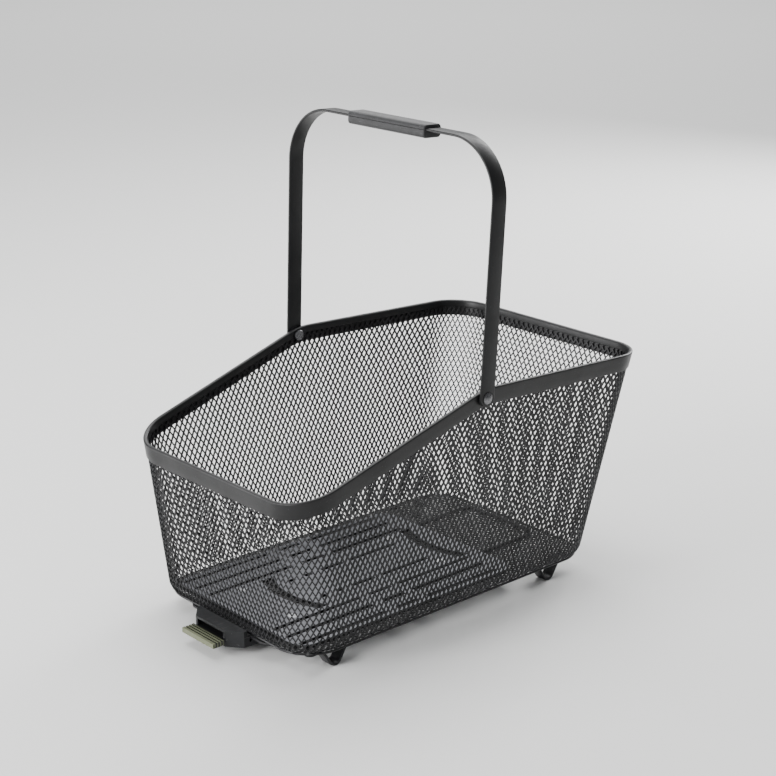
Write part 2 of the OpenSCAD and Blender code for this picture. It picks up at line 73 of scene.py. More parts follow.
def outline(s, h, out):
    """A point of the body, for arrays that broadcast together.

    The centre of curvature walks round an inner rectangle as s grows, and stands still in each corner while
    the normal turns by 90 degrees. The point lies at the corner radius plus out from it, along the normal.
    The inner rectangle's sides move outwards with the height h, each by its own flare.
    """
    s, h, out = np.broadcast_arrays(np.mod(s, AROUND), h, out)
    along = np.interp(s, BREAKS, [1, 1, 1, 0, 0, 0, 0, 1, 1, 1])
    across = np.interp(s, BREAKS, [0, 1, 1, 1, 1, -1, -1, -1, -1, 0])
    angle = np.interp(s, BREAKS, np.radians([0, 0, 90, 90, 180, 180, 270, 270, 360, 360]))
    front = -(BASE_LEN / 2 + FRONT_FLARE * h - CORNER)
    rear = BASE_LEN / 2 + REAR_FLARE * h - CORNER
    x = front + (rear - front) * along + (CORNER + out) * np.cos(angle)
    y = (BASE_W / 2 + SIDE_FLARE * h - CORNER) * across + (CORNER + out) * np.sin(angle)
    return np.stack([x, y, h + 0 * x], axis=-1)


def rim_height(s, blend=4.0):
    """Height of the rim: the lower of two straight slopes, rounded where they meet, found by repeating."""
    front_x, rear_x = -(BASE_LEN / 2 + FRONT_FLARE * FRONT_H), BASE_LEN / 2 + REAR_FLARE * REAR_H
    h = np.full(np.shape(s), FRONT_H)
    for _ in range(8):
        x = outline(s, h, 0)[..., 0]
        front = FRONT_H + (PEAK_H - FRONT_H) * (x - front_x) / (KINK_X - front_x)
        rear = PEAK_H + (REAR_H - PEAK_H) * (x - KINK_X) / (rear_x - KINK_X)
        near = np.maximum(blend - np.abs(front - rear), 0)
        h = np.minimum(front, rear) - near ** 2 / (4 * blend)
    return h


print("length round the base: %.0f mm" % AROUND)

# %% [markdown]
# ## From arrays to a mesh
# Most pieces are grids: rows of points, joined to their neighbours by four-sided faces. A grid can close on
# itself in either direction, as a ring or a tube does. The faces are also made as one array.

# %% Mesh helpers
def new_piece(name, points, faces, smooth=True):
    """Makes an object at the origin from points in the base's millimetres and an array or list of faces."""
    mesh = bpy.data.meshes.new(name)
    metres = (np.asarray(points).reshape(-1, 3) + BASE_ORIGIN) / 1000
    mesh.from_pydata(metres.tolist(), [], [list(f) for f in faces])
    mesh.polygons.foreach_set("use_smooth", np.full(len(mesh.polygons), smooth))
    mesh.update()
    piece = bpy.data.objects.new(name, mesh)
    bpy.context.scene.collection.objects.link(piece)
    return piece


def grid_faces(rows, columns, close_rows=False, close_columns=True, start=0):
    """Faces of a grid whose point (i, j) has the number start + i * columns + j."""
    i, j = np.meshgrid(np.arange(rows if close_rows else rows - 1),
                       np.arange(columns if close_columns else columns - 1), indexing="ij")
    i, j = i.ravel(), j.ravel()
    i2, j2 = (i + 1) % rows, (j + 1) % columns
    return start + np.stack([i * columns + j, i2 * columns + j, i2 * columns + j2, i * columns + j2], axis=1)


def tidy(piece, sharp_degrees=None):
    """Merges doubled points, turns the faces outwards and, if asked, keeps edges over an angle sharp."""
    work = bmesh.new()
    work.from_mesh(piece.data)
    bmesh.ops.remove_doubles(work, verts=work.verts, dist=1e-7)
    bmesh.ops.recalc_face_normals(work, faces=work.faces)
    work.to_mesh(piece.data)
    work.free()
    if sharp_degrees:
        piece.data.set_sharp_from_angle(angle=math.radians(sharp_degrees))
    return piece


def finish_piece(piece, material, slot, body, *nodes):
    """Gives a piece its material and body, and names the CAD nodes that it stands for. The slot is not used.
    """
    piece.data.materials.clear()
    piece.data.materials.append(material)
    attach(piece, body)
    if nodes:
        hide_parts(*nodes)
    print(piece.name, "faces:", len(piece.data.polygons))


# %% [markdown]
# ## Colours and the node helper
# Colours are written as the hex values that a painter would pick from a screen. Shaders work in linear light,
# so one function converts them. One small function adds a node with its settings and links.

# %% Colour and node helpers
def linear(hex_colour):
    """An sRGB hex colour as linear RGBA: each channel c becomes ((c + 0.055) / 1.055) ** 2.4."""
    c = np.array([int(hex_colour[k:k + 2], 16) for k in (1, 3, 5)]) / 255
    return (*np.where(c > 0.04045, ((c + 0.055) / 1.055) ** 2.4, c / 12.92).tolist(), 1.0)


def add(tree, kind, inputs=None, **settings):
    """Adds a node. Each input is set to a value, or linked when it is another node's output."""
    node = tree.nodes.new(kind)
    for key, value in settings.items():
        setattr(node, key, value)
    for socket, value in (inputs or {}).items():
        if isinstance(value, bpy.types.NodeSocket):
            tree.links.new(value, node.inputs[socket])
        else:
            node.inputs[socket].default_value = value
    return node


def new_material(name, **constants):
    """A material with a Principled shader whose constant values are set on its own sockets."""
    material = bpy.data.materials.new(name)
    material.use_nodes = True
    tree = material.node_tree
    shader = tree.nodes["Principled BSDF"]
    for socket, value in constants.items():
        shader.inputs[socket.replace("_", " ")].default_value = value
    coordinates = add(tree, "ShaderNodeTexCoord").outputs["Object"]
    return material, tree, shader, coordinates


def per_mm(size):
    """The texture scale whose features are about this many millimetres across, on coordinates in metres."""
    return 1000 / size


# %% [markdown]
# ## Powder-coated steel
# The rim, the handle, the feet and the mesh are steel with a baked powder coat. The powder melts into a film
# with a faint orange peel, about 1.5 mm from crest to crest, and a satin gloss. Handling dulls it in soft
# patches, and dust leaves pale specks. Patterns at those real sizes drive the bump, the colour and the gloss.

# %% Powder coat
PATCH_MM, SPECK_MM = 38, 2.6
DUST_COLOUR = "#77767a"


def powder_coat(name, dark, pale, peel_mm, rough_low, rough_high):
    material, tree, shader, place = new_material(name, Metallic=0.0, IOR=1.5, Specular_IOR_Level=0.3)
    peel = add(tree, "ShaderNodeTexNoise",
               {"Vector": place, "Scale": per_mm(peel_mm), "Detail": 3.0, "Roughness": 0.6})
    patches = add(tree, "ShaderNodeTexNoise",
                  {"Vector": place, "Scale": per_mm(PATCH_MM), "Detail": 5.0, "Distortion": 0.6})
    spread = add(tree, "ShaderNodeMapRange",
                 {"Value": patches.outputs["Fac"], "From Min": 0.35, "From Max": 0.68})
    specks = add(tree, "ShaderNodeTexVoronoi", {"Vector": place, "Scale": per_mm(SPECK_MM)})
    dust = add(tree, "ShaderNodeMapRange",
               {"Value": specks.outputs["Distance"], "From Min": 0.02, "From Max": 0.14,
                "To Min": 0.22, "To Max": 0.0})
    coat = add(tree, "ShaderNodeMix", {"Factor": spread.outputs["Result"], 6: linear(dark), 7: linear(pale)},
               data_type="RGBA")
    dusty = add(tree, "ShaderNodeMix",
                {"Factor": dust.outputs["Result"], 6: coat.outputs[2], 7: linear(DUST_COLOUR)},
                data_type="RGBA")
    gloss = add(tree, "ShaderNodeMapRange",
                {"Value": patches.outputs["Fac"], "From Min": 0.3, "From Max": 0.7,
                 "To Min": rough_high, "To Max": rough_low})
    bump = add(tree, "ShaderNodeBump", {"Height": peel.outputs["Fac"], "Strength": 0.32, "Distance": 0.00012})
    tree.links.new(dusty.outputs[2], shader.inputs["Base Color"])
    tree.links.new(gloss.outputs["Result"], shader.inputs["Roughness"])
    tree.links.new(bump.outputs["Normal"], shader.inputs["Normal"])
    return material


satin_coat = powder_coat("satin_powder_coat_on_steel", "#0c0c0d", "#171718", 1.5, 0.34, 0.46)
mesh_coat = powder_coat("powder_coat_on_expanded_metal", "#151516", "#232325", 0.9, 0.36, 0.48)
wire_coat = powder_coat("powder_coat_on_wire", "#0e0e0f", "#1a1a1c", 1.1, 0.3, 0.42)
print("powder coats:", satin_coat.name, mesh_coat.name, wire_coat.name)

# %% [markdown]
# ## Moulded plastics
# The adapter is glass-filled nylon: matt, a little mottled where the fibres reach the surface, with a
# spark-eroded grain about 0.5 mm across. The grain is drawn at 0.7 mm so that it shows. Flow lines run
# along the part, the way the melt went. The slotted plate is drawn a paler grey than the other nylon parts:
# that paleness is painted sheen, and the walls of its slots are painted near black as painted shade. The
# latch cover is the same plastic with a smoother skin, and the lever is dyed a dull grey green, with painted
# shade in its grooves and under the hood. The grip is a softer plastic with a fine leather-like stipple.

# %% Plastics
FLOW_MM, MOTTLE_MM, SCUFF_MM = 9, 4, 1.6
# The second colour is the near black of painted shade, for slot walls and lever grooves.
SCUFF_COLOUR, PAINTED_SHADE_COLOUR = "#8e8e90", "#0b0b0c"
RIDGES_PER_M = 1000 / 3
LIP_START, LIP_END, HOOD_START, HOOD_END = 0.0026, 0.0029, 0.0105, 0.0125


def slot_wall_shade(tree, place, face_z):
    """Painted shade mask: 0 more than 0.9 mm below a face, as on the walls of a slot where shade falls, and 1
    on the face.
    """
    height = add(tree, "ShaderNodeSeparateXYZ", {"Vector": place}).outputs["Z"]
    return add(tree, "ShaderNodeMapRange",
               {"Value": height, "From Min": face_z - 0.0009, "From Max": face_z - 0.0005})


def groove_and_hood_shade(tree, place, front_x):
    """Painted shade mask: 1 on the lever's front lip and on its ridges, which are 3 mm apart.

    It is 0 in the grooves and behind the ridges, under the hood, as painted shade where shade falls. The lip,
    the ridges and the hood are placed by their distance in metres behind front_x.
    """
    x = add(tree, "ShaderNodeSeparateXYZ", {"Vector": place}).outputs["X"]
    turns = add(tree, "ShaderNodeMath", {0: x, 1: RIDGES_PER_M, 2: -(front_x + LIP_END) * RIDGES_PER_M},
                operation="MULTIPLY_ADD")
    share = add(tree, "ShaderNodeMath", {0: turns.outputs["Value"]}, operation="FRACT")
    ridge = add(tree, "ShaderNodeMapRange",
                {"Value": share.outputs["Value"], "From Min": 0.42, "From Max": 0.5})
    hood = add(tree, "ShaderNodeMapRange",
               {"Value": x, "From Min": front_x + HOOD_START, "From Max": front_x + HOOD_END,
                "To Min": 1.0, "To Max": 0.0})
    lip = add(tree, "ShaderNodeMapRange",
              {"Value": x, "From Min": front_x + LIP_START, "From Max": front_x + LIP_END,
               "To Min": 1.0, "To Max": 0.0})
    crests = add(tree, "ShaderNodeMath", {0: ridge.outputs["Result"], 1: lip.outputs["Result"]},
                 operation="MAXIMUM")
    lit = add(tree, "ShaderNodeMath", {0: crests.outputs["Value"], 1: hood.outputs["Result"]},
              operation="MULTIPLY")
    return add(tree, "ShaderNodeMapRange", {"Value": lit.outputs["Value"]})


def moulded_plastic(name, dark, pale, grain_mm, grain_depth, rough_low, rough_high, sheen=0.0,
                    shade_mask=None, at=0.0):
    """Plastic with its grain. Where the shade mask is 0, painted shade makes it nearly black."""
    material, tree, shader, place = new_material(name, Metallic=0.0, IOR=1.49, Specular_IOR_Level=0.35,
                                                 Sheen_Weight=sheen)
    grain = add(tree, "ShaderNodeTexVoronoi", {"Vector": place, "Scale": per_mm(grain_mm)},
                feature="SMOOTH_F1")
    fine = add(tree, "ShaderNodeTexNoise", {"Vector": place, "Scale": per_mm(grain_mm * 2), "Detail": 4.0})
    height = add(tree, "ShaderNodeMix", {"Factor": 0.5, 2: grain.outputs["Distance"], 3: fine.outputs["Fac"]})
    along = add(tree, "ShaderNodeMapping", {"Vector": place, "Scale": (0.12, 1.0, 1.0)})
    flow = add(tree, "ShaderNodeTexNoise",
               {"Vector": along.outputs["Vector"], "Scale": per_mm(FLOW_MM), "Detail": 5.0,
                "Distortion": 0.8})
    mottle = add(tree, "ShaderNodeTexNoise",
                 {"Vector": place, "Scale": per_mm(MOTTLE_MM), "Detail": 6.0, "Roughness": 0.7})
    mixed = add(tree, "ShaderNodeMix", {"Factor": 0.45, 2: flow.outputs["Fac"], 3: mottle.outputs["Fac"]})
    spread = add(tree, "ShaderNodeMapRange", {"Value": mixed.outputs[0], "From Min": 0.36, "From Max": 0.64})
    body = add(tree, "ShaderNodeMix", {"Factor": spread.outputs["Result"], 6: linear(dark), 7: linear(pale)},
               data_type="RGBA")
    scuff_lines = add(tree, "ShaderNodeMapping",
                      {"Vector": place, "Rotation": (0, 0, 0.6), "Scale": (0.06, 1.0, 1.0)})
    scuffs = add(tree, "ShaderNodeTexNoise",
                 {"Vector": scuff_lines.outputs["Vector"], "Scale": per_mm(SCUFF_MM), "Detail": 2.0})
    scuffed = add(tree, "ShaderNodeMapRange",
                  {"Value": scuffs.outputs["Fac"], "From Min": 0.66, "From Max": 0.78,
                   "To Min": 0.0, "To Max": 0.3})
    worn = add(tree, "ShaderNodeMix",
               {"Factor": scuffed.outputs["Result"], 6: body.outputs[2], 7: linear(SCUFF_COLOUR)},
               data_type="RGBA")
    gloss = add(tree, "ShaderNodeMapRange", {"Value": mottle.outputs["Fac"], "From Min": 0.3, "From Max": 0.7,
                                             "To Min": rough_low, "To Max": rough_high})
    bump = add(tree, "ShaderNodeBump",
               {"Height": height.outputs[0], "Strength": 0.5, "Distance": grain_depth / 1000})
    shown = worn.outputs[2]
    # Painted shade: where the mask gives 0, the colour goes to near black.
    if shade_mask:
        painted_shade = add(tree, "ShaderNodeMix", {"Factor": shade_mask(tree, place, at).outputs["Result"],
                                            6: linear(PAINTED_SHADE_COLOUR), 7: shown}, data_type="RGBA")
        shown = painted_shade.outputs[2]
    tree.links.new(shown, shader.inputs["Base Color"])
    tree.links.new(gloss.outputs["Result"], shader.inputs["Roughness"])
    tree.links.new(bump.outputs["Normal"], shader.inputs["Normal"])
    return material


# The plate's grey, paler than the other nylon parts, is painted sheen; its slot walls get painted shade.
plate_nylon_painted_sheen_and_shade = moulded_plastic("glass_filled_nylon_plate_painted_sheen_and_shade", "#55565a", "#66676c", 0.7, 0.12, 0.42, 0.58,
                                shade_mask=slot_wall_shade, at=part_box("adapter_plate")[1][2])
nylon_plate = moulded_plastic("glass_filled_nylon", "#161617", "#222224", 0.7, 0.12, 0.45, 0.62)
nylon_cover = moulded_plastic("nylon_latch_cover", "#101112", "#1c1d1f", 0.6, 0.06, 0.35, 0.5)
# The lever's grooves and the part under the hood get painted shade.
green_lever = moulded_plastic("dyed_acetal_lever", "#5b5f4a", "#6e725a", 0.6, 0.05, 0.35, 0.5,
                              shade_mask=groove_and_hood_shade, at=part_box("latch_lever")[0][0])
grip_skin = moulded_plastic("soft_grip_plastic", "#161617", "#242426", 1.0, 0.16, 0.5, 0.66, sheen=0.1)
pad_rubber = moulded_plastic("moulded_pad_rubber", "#161617", "#222224", 0.8, 0.1, 0.6, 0.8)
washer_nylon = moulded_plastic("black_nylon_washer", "#1a1a1b", "#262628", 0.5, 0.04, 0.3, 0.42)
print("plastics:", nylon_plate.name, nylon_cover.name, green_lever.name, grip_skin.name)

# %% [markdown]
# ## Bare and plated steel
# The pivot rivets are blackened steel rubbed bright on their crowns. The screws, the bolt and the spring
# are zinc plated: a pale grey metal with faint crystal patches about 2 mm across. Both keep the default IOR
# of a metal.

# %% Metals
def bare_steel(name, dark, pale, crystal_mm, rough_low, rough_high):
    material, tree, shader, place = new_material(name, Metallic=1.0)
    crystals = add(tree, "ShaderNodeTexVoronoi", {"Vector": place, "Scale": per_mm(crystal_mm)})
    rubbed = add(tree, "ShaderNodeTexNoise", {"Vector": place, "Scale": per_mm(1.2), "Detail": 5.0})
    mixed = add(tree, "ShaderNodeMix",
                {"Factor": 0.6, 2: crystals.outputs["Distance"], 3: rubbed.outputs["Fac"]})
    colour = add(tree, "ShaderNodeMix", {"Factor": mixed.outputs[0], 6: linear(dark), 7: linear(pale)},
                 data_type="RGBA")
    gloss = add(tree, "ShaderNodeMapRange", {"Value": rubbed.outputs["Fac"], "From Min": 0.3, "From Max": 0.7,
                                             "To Min": rough_low, "To Max": rough_high})
    bump = add(tree, "ShaderNodeBump",
               {"Height": rubbed.outputs["Fac"], "Strength": 0.2, "Distance": 0.00005})
    tree.links.new(colour.outputs[2], shader.inputs["Base Color"])
    tree.links.new(gloss.outputs["Result"], shader.inputs["Roughness"])
    tree.links.new(bump.outputs["Normal"], shader.inputs["Normal"])
    return material


rivet_metal = bare_steel("blackened_rivet_steel", "#3a3a3c", "#8a8a8c", 1.5, 0.22, 0.4)
zinc_plate = bare_steel("zinc_plated_steel", "#9a9b9e", "#c9cacd", 2.0, 0.28, 0.45)
print("metals:", rivet_metal.name, zinc_plate.name)

# %% [markdown]
# ## Expanded metal walls
# Expanded metal is slit and pulled open, so it is one sheet of diamonds with no crossing wires. Each strand
# keeps the sheet's thickness and is twisted a little, which is why the mesh glints from one side and looks
# open from another. A texture with holes would look flat, so every diamond is real geometry: one outer
# diamond shared with its neighbours, one smaller opening, a front, a back and the opening's edges. Twelve
# faces make a cell.

# %% The sheet of diamonds
STRAND = 0.45         # half the thickness of a strand
OPEN_SHORT = 0.79     # the opening's share of a diamond, across
OPEN_LONG = 0.71      # and along
TWIST = 0.30          # how far a strand's edges stand in and out


def diamond_sheet(name, cell_i, cell_j, wrap, place):
    """Builds the cells whose middles are at the given half steps (i + j odd).

    A cell's corners are the lattice points one half step away on each side; they are shared, so each is
    numbered by its place in the lattice. The opening's corners lie between the middle and the corners.
    place(i, j, out) turns half steps and a distance outwards into millimetres. The opening's edges move out
    on one side and in on the other, so a strand between two openings is tilted.
    """
    step = np.array([[-1, 0], [0, -1], [1, 0], [0, 1]])
    corner_i = cell_i[:, None] + step[:, 0]
    corner_j = cell_j[:, None] + step[:, 1]
    wrapped = np.mod(corner_i, wrap) if wrap else corner_i
    keys = wrapped * 10000 + corner_j
    unique, first, shared = np.unique(keys.ravel(), return_index=True, return_inverse=True)
    shared = shared.reshape(keys.shape)
    lattice_i, lattice_j = wrapped.ravel()[first], corner_j.ravel()[first]
    hole_i = cell_i[:, None] + OPEN_SHORT * step[:, 0]
    hole_j = cell_j[:, None] + OPEN_LONG * step[:, 1]
    tilt = -TWIST * step[:, 0] + 0 * hole_i
    points = np.concatenate([place(lattice_i, lattice_j, STRAND), place(lattice_i, lattice_j, -STRAND),
                             place(hole_i, hole_j, STRAND + tilt).reshape(-1, 3),
                             place(hole_i, hole_j, -STRAND + tilt).reshape(-1, 3)])
    n, m = len(unique), hole_i.size
    front_hole = 2 * n + np.arange(m).reshape(-1, 4)
    back_hole = front_hole + m
    turned = lambda a: np.roll(a, -1, axis=1)
    front = np.stack([shared, turned(shared), turned(front_hole), front_hole], axis=-1)
    back = np.stack([shared + n, back_hole, turned(back_hole), turned(shared + n)], axis=-1)
    edge = np.stack([front_hole, turned(front_hole), turned(back_hole), back_hole], axis=-1)
    faces = np.concatenate([front.reshape(-1, 4), back.reshape(-1, 4), edge.reshape(-1, 4)])
    return new_piece(name, points, faces, smooth=False)


# %% Walls
HALF_STEPS = 416
LONG_HALF = 5.0
WALL_START = -10.0


def upright(s, h):
    """Keeps the columns of diamonds on the long sides upright, though the sides grow longer with height.

    A column at the share t of the way to the rear leans by REAR_FLARE t^3 - FRONT_FLARE (1 - t)^3 for each
    unit of height h. That is almost nothing except near the corners, where the sheet is drawn wider.
    """
    s = np.mod(s, AROUND)
    for first, last in ((BREAKS[3], BREAKS[2]), (BREAKS[6], BREAKS[7])):
        t = (s - first) / (last - first)
        lean = REAR_FLARE * t ** 3 - FRONT_FLARE * (1 - t) ** 3
        moved = (side_run * t + (lean + FRONT_FLARE) * h) / (side_run + (FRONT_FLARE + REAR_FLARE) * h)
        s = np.where((t > 0) & (t < 1), first + (last - first) * moved, s)
    return s


def on_wall(i, j, out):
    """Half steps to the wall: up the wall, and round the bend to the floor where the distance is negative."""
    up = WALL_START + LONG_HALF * j
    s = upright(i * AROUND / HALF_STEPS, np.maximum(FLOOR_BEND + up, 0))
    top = rim_height(s) - BAND_T - 0.5
    h = np.minimum(FLOOR_BEND + up, top)
    lean = -SHEET_T / 2 - (BAND_T + 0.2) * (h - FLOOR_BEND) / (top - FLOOR_BEND)
    bend = np.pi / 2 + np.minimum(up, 0) / FLOOR_BEND
    radius = FLOOR_BEND - SHEET_T / 2 + out
    in_bend = up < 0
    height = np.where(in_bend, FLOOR_BEND - radius * np.cos(bend), h)
    return outline(s, height, np.where(in_bend, radius * np.sin(bend) - FLOOR_BEND, lean + out))


all_i, all_j = np.meshgrid(np.arange(HALF_STEPS), np.arange(1, 45), indexing="ij")
all_i, all_j = all_i[(all_i + all_j) % 2 == 1], all_j[(all_i + all_j) % 2 == 1]
height_of_cell = FLOOR_BEND + WALL_START + LONG_HALF * all_j
place_of_cell = upright(all_i * AROUND / HALF_STEPS, np.maximum(height_of_cell, 0))
below_rim = height_of_cell < rim_height(place_of_cell) - BAND_T - 1.0
wall_mesh = diamond_sheet("wall_mesh", all_i[below_rim], all_j[below_rim], HALF_STEPS, on_wall)
finish_piece(wall_mesh, mesh_coat, "mesh_steel", "basket", "mesh_wall")

# %% [markdown]
# The floor is a second sheet of the same metal, with the diamonds lying along the basket. It is cut to the
# outline of the bend and welded there.

# %% Floor
SHORT_HALF = AROUND / HALF_STEPS


def on_floor(i, j, out):
    """Half steps to the floor: across the basket by the short half, along it by the long half."""
    x, y, z = np.broadcast_arrays(LONG_HALF * j, SHORT_HALF * i, SHEET_T / 2 + out)
    return np.stack([x, y, z], axis=-1)


floor_i, floor_j = np.meshgrid(np.arange(-42, 43), np.arange(-36, 37), indexing="ij")
chosen = (floor_i + floor_j) % 2 == 1
floor_i, floor_j = floor_i[chosen], floor_j[chosen]
middle = on_floor(floor_i, floor_j, 0.0)
inner_x, inner_y = BASE_LEN / 2 - CORNER, BASE_W / 2 - CORNER
past_corner = np.hypot(np.maximum(np.abs(middle[:, 0]) - inner_x, 0),
                       np.maximum(np.abs(middle[:, 1]) - inner_y, 0))
inside = past_corner < CORNER - FLOOR_BEND + 1.5
floor_mesh = diamond_sheet("floor_mesh", floor_i[inside], floor_j[inside], 0, on_floor)
finish_piece(floor_mesh, mesh_coat, "mesh_steel", "basket", "mesh_floor")

# %% [markdown]
# ## Rim band
# The top edge is a strip of steel folded over the mesh: a tall leg outside, a short leg inside and a rolled
# top. Its section is carried round the outline and hangs from the rim's height at each place.

# %% Rim band
BAND_H, BAND_INNER_H = 15.4, 6.5
BAND_GAP = 2 * BAND_T + 1.5


def arc(centre, radius, start, end, count=7):
    """Points on a circular arc, from one angle to another in degrees."""
    a = np.radians(np.linspace(start, end, count))
    return np.stack([centre[0] + radius * np.cos(a), centre[1] + radius * np.sin(a)], axis=1)


edge_r, roll_r = BAND_T / 2, 1.5
section = np.concatenate([
    [[0, -BAND_H + edge_r], [0, -9], [0, -4]],
    arc((-roll_r, -roll_r), roll_r, 0, 90),
    arc((roll_r - BAND_GAP, -roll_r), roll_r, 90, 180),
    [[-BAND_GAP, -BAND_INNER_H + edge_r]],
    arc((edge_r - BAND_GAP, -BAND_INNER_H + edge_r), edge_r, 180, 360),
    [[BAND_T - BAND_GAP, -BAND_T - 0.4], [-BAND_T - 0.4, -BAND_T], [-BAND_T, -BAND_T - 0.4]],
    arc((-edge_r, -BAND_H + edge_r), edge_r, 180, 360)[:-1],
])
stations = np.unique(np.concatenate([
    np.linspace(a, b, 17 if k % 2 else 49) for k, (a, b) in enumerate(zip(BREAKS[:-1], BREAKS[1:]))]))[:-1]
rim = rim_height(stations)[:, None]
rim_points = outline(stations[:, None], rim + section[:, 1], section[:, 0])
rim_piece = new_piece("folded_rim_band", rim_points, grid_faces(len(stations), len(section), close_rows=True))
tidy(rim_piece, sharp_degrees=50)
finish_piece(rim_piece, satin_coat, "black_steel", "basket", "rim_band")

# %% [markdown]
# ## Bent straps
# The handle and the feet are flat steel bars, bent cold, with edges rounded in the mill. Both are a rounded
# rectangle carried along a path in one plane. Where the bar ends in a half circle, the section narrows there.

# %% Strap function
def rounded_path(points, radii, per_bend=9):
    """A polyline whose corners are replaced by arcs: each touches both of its sides, at r * tan(turn / 2)."""
    points = np.asarray(points, float)
    path = [points[:1]]
    for before, corner, after, r in zip(points[:-2], points[1:-1], points[2:], radii):
        a = (before - corner) / np.linalg.norm(before - corner)
        b = (after - corner) / np.linalg.norm(after - corner)
        half = math.acos(np.clip(a @ b, -1, 1)) / 2
        middle = corner + (a + b) / np.linalg.norm(a + b) * r / math.sin(half)
        start, end = corner + a * r / math.tan(half) - middle, corner + b * r / math.tan(half) - middle
        t = np.linspace(0, 1, per_bend)[:, None]
        sweep = math.acos(np.clip(start @ end / r ** 2, -1, 1))
        path.append(middle + (np.sin((1 - t) * sweep) * start + np.sin(t * sweep) * end) / math.sin(sweep))
    return np.concatenate(path + [points[-1:]])


def strap(name, path, widths, thickness, to_space):
    """Carries a rounded rectangle along a path of 2-D points and closes both ends.

    The section's points are (across, through). Across is scaled to each station's half width, less the edge
    radius; through is laid along the path's normal. to_space turns (path point, across) into millimetres.
    """
    tangent = np.gradient(path, axis=0)
    tangent /= np.linalg.norm(tangent, axis=1)[:, None]
    normal = np.stack([tangent[:, 1], -tangent[:, 0]], axis=1)
    edge = 0.42 * thickness
    signs, per_corner = [(1, 1), (-1, 1), (-1, -1), (1, -1)], 4
    corner = np.concatenate([arc(c, 1, 90 * k, 90 * k + 90, per_corner) for k, c in enumerate(signs)])
    centre = np.repeat(signs, per_corner, axis=0)
    offset = (corner - centre) * edge
    half = np.maximum(widths, edge)[:, None]
    across = centre[:, 0] * (half - edge) + offset[:, 0] * np.minimum(widths[:, None] / edge, 1)
    through = centre[:, 1] * (thickness / 2 - edge) + offset[:, 1]
    flat = path[:, None] + normal[:, None] * (through + 0 * across)[..., None]
    points = to_space(flat, across)
    rows, columns = across.shape
    faces = [list(f) for f in grid_faces(rows, columns)]
    faces += [list(range(columns))[::-1], list(range((rows - 1) * columns, rows * columns))]
    return tidy(new_piece(name, points, faces), sharp_degrees=60)


# %% Handle
HANDLE_H, BEND_R, SPLAY, STRAP_W, STRAP_T = 219.0, 50.0, math.radians(0.7), 16.5, 2.5
leg_y = BASE_W / 2 + SIDE_FLARE * PIVOT_Z + 2.65
shoulder_y = leg_y + math.tan(SPLAY) * HANDLE_H
end_r = STRAP_W / 2
foot_of_leg = -end_r * math.cos(SPLAY)
half_path = [[-(leg_y + foot_of_leg * math.tan(SPLAY)), foot_of_leg], [-shoulder_y, HANDLE_H],
             [shoulder_y, HANDLE_H], [leg_y + foot_of_leg * math.tan(SPLAY), foot_of_leg]]
bends = rounded_path(half_path, [BEND_R, BEND_R], per_bend=41)
END_STEPS = 10
rounding = end_r * (1 - np.cos(np.linspace(0, np.pi / 2, END_STEPS)))
lead = bends[0] + (bends[1] - bends[0]) / np.linalg.norm(bends[1] - bends[0]) * rounding[:, None]
bail_path = np.concatenate([lead, bends[1:-1], (lead * [-1, 1])[::-1]])
bail_width = np.full(len(bail_path), end_r)
bail_width[:END_STEPS] = np.sqrt(np.maximum(end_r ** 2 - (end_r - rounding) ** 2, 0))
bail_width[-END_STEPS:] = bail_width[:END_STEPS][::-1]


REST_LEAN = math.radians(2.7)


def leaning(x, y, z):
    """The handle's own frame: its origin is between the pivots, and it leans to the rear about them."""
    return np.stack(np.broadcast_arrays(PIVOT_X + x * math.cos(REST_LEAN) + z * math.sin(REST_LEAN), y,
                                        PIVOT_Z + z * math.cos(REST_LEAN) - x * math.sin(REST_LEAN)), axis=-1)


def across_x(flat, across):
    """The path lies in the handle's plane, and the strap is wide along the basket."""
    return leaning(across, flat[..., 0], flat[..., 1])


bail = strap("handle_strap", bail_path, bail_width, STRAP_T, across_x)
finish_piece(bail, satin_coat, "black_steel", "handle", "handle_bail")

# %% Feet
FOOT_W, FOOT_T, FOOT_HALF_SPAN, FOOT_H, FOOT_TAB = 12.0, 2.5, 14.5, 18.5, 14.0
leg_top = FOOT_HALF_SPAN - 0.9
foot_line = [[-FOOT_HALF_SPAN - FOOT_TAB, -FOOT_T / 2 - 0.02], [-leg_top, -FOOT_T / 2 - 0.02],
             [-3.4, -FOOT_H + FOOT_T / 2], [3.4, -FOOT_H + FOOT_T / 2],
             [leg_top, -FOOT_T / 2 - 0.02], [FOOT_HALF_SPAN + FOOT_TAB, -FOOT_T / 2 - 0.02]]
foot_bends = rounded_path(foot_line, [3.2, 6.0, 6.0, 3.2], per_bend=9)
TAB_R, TAB_STEPS = 5.0, 8
tab_in = TAB_R * (1 - np.cos(np.linspace(0, np.pi / 2, TAB_STEPS)))
tab_lead = foot_bends[0] + np.stack([tab_in, 0 * tab_in], axis=1)
foot_path = np.concatenate([tab_lead, foot_bends[1:-1], (tab_lead * [-1, 1])[::-1]])
foot_width = np.full(len(foot_path), FOOT_W / 2)
foot_width[:TAB_STEPS] = FOOT_W / 2 - TAB_R + np.sqrt(np.maximum(TAB_R ** 2 - (TAB_R - tab_in) ** 2, 0))
foot_width[-TAB_STEPS:] = foot_width[:TAB_STEPS][::-1]


def standing_at(x, y):
    """A foot's path stands in a plane along the basket, and its strap is wide across the basket."""
    return lambda flat, across: np.stack([x + flat[..., 0], y + across, flat[..., 1]], axis=-1)


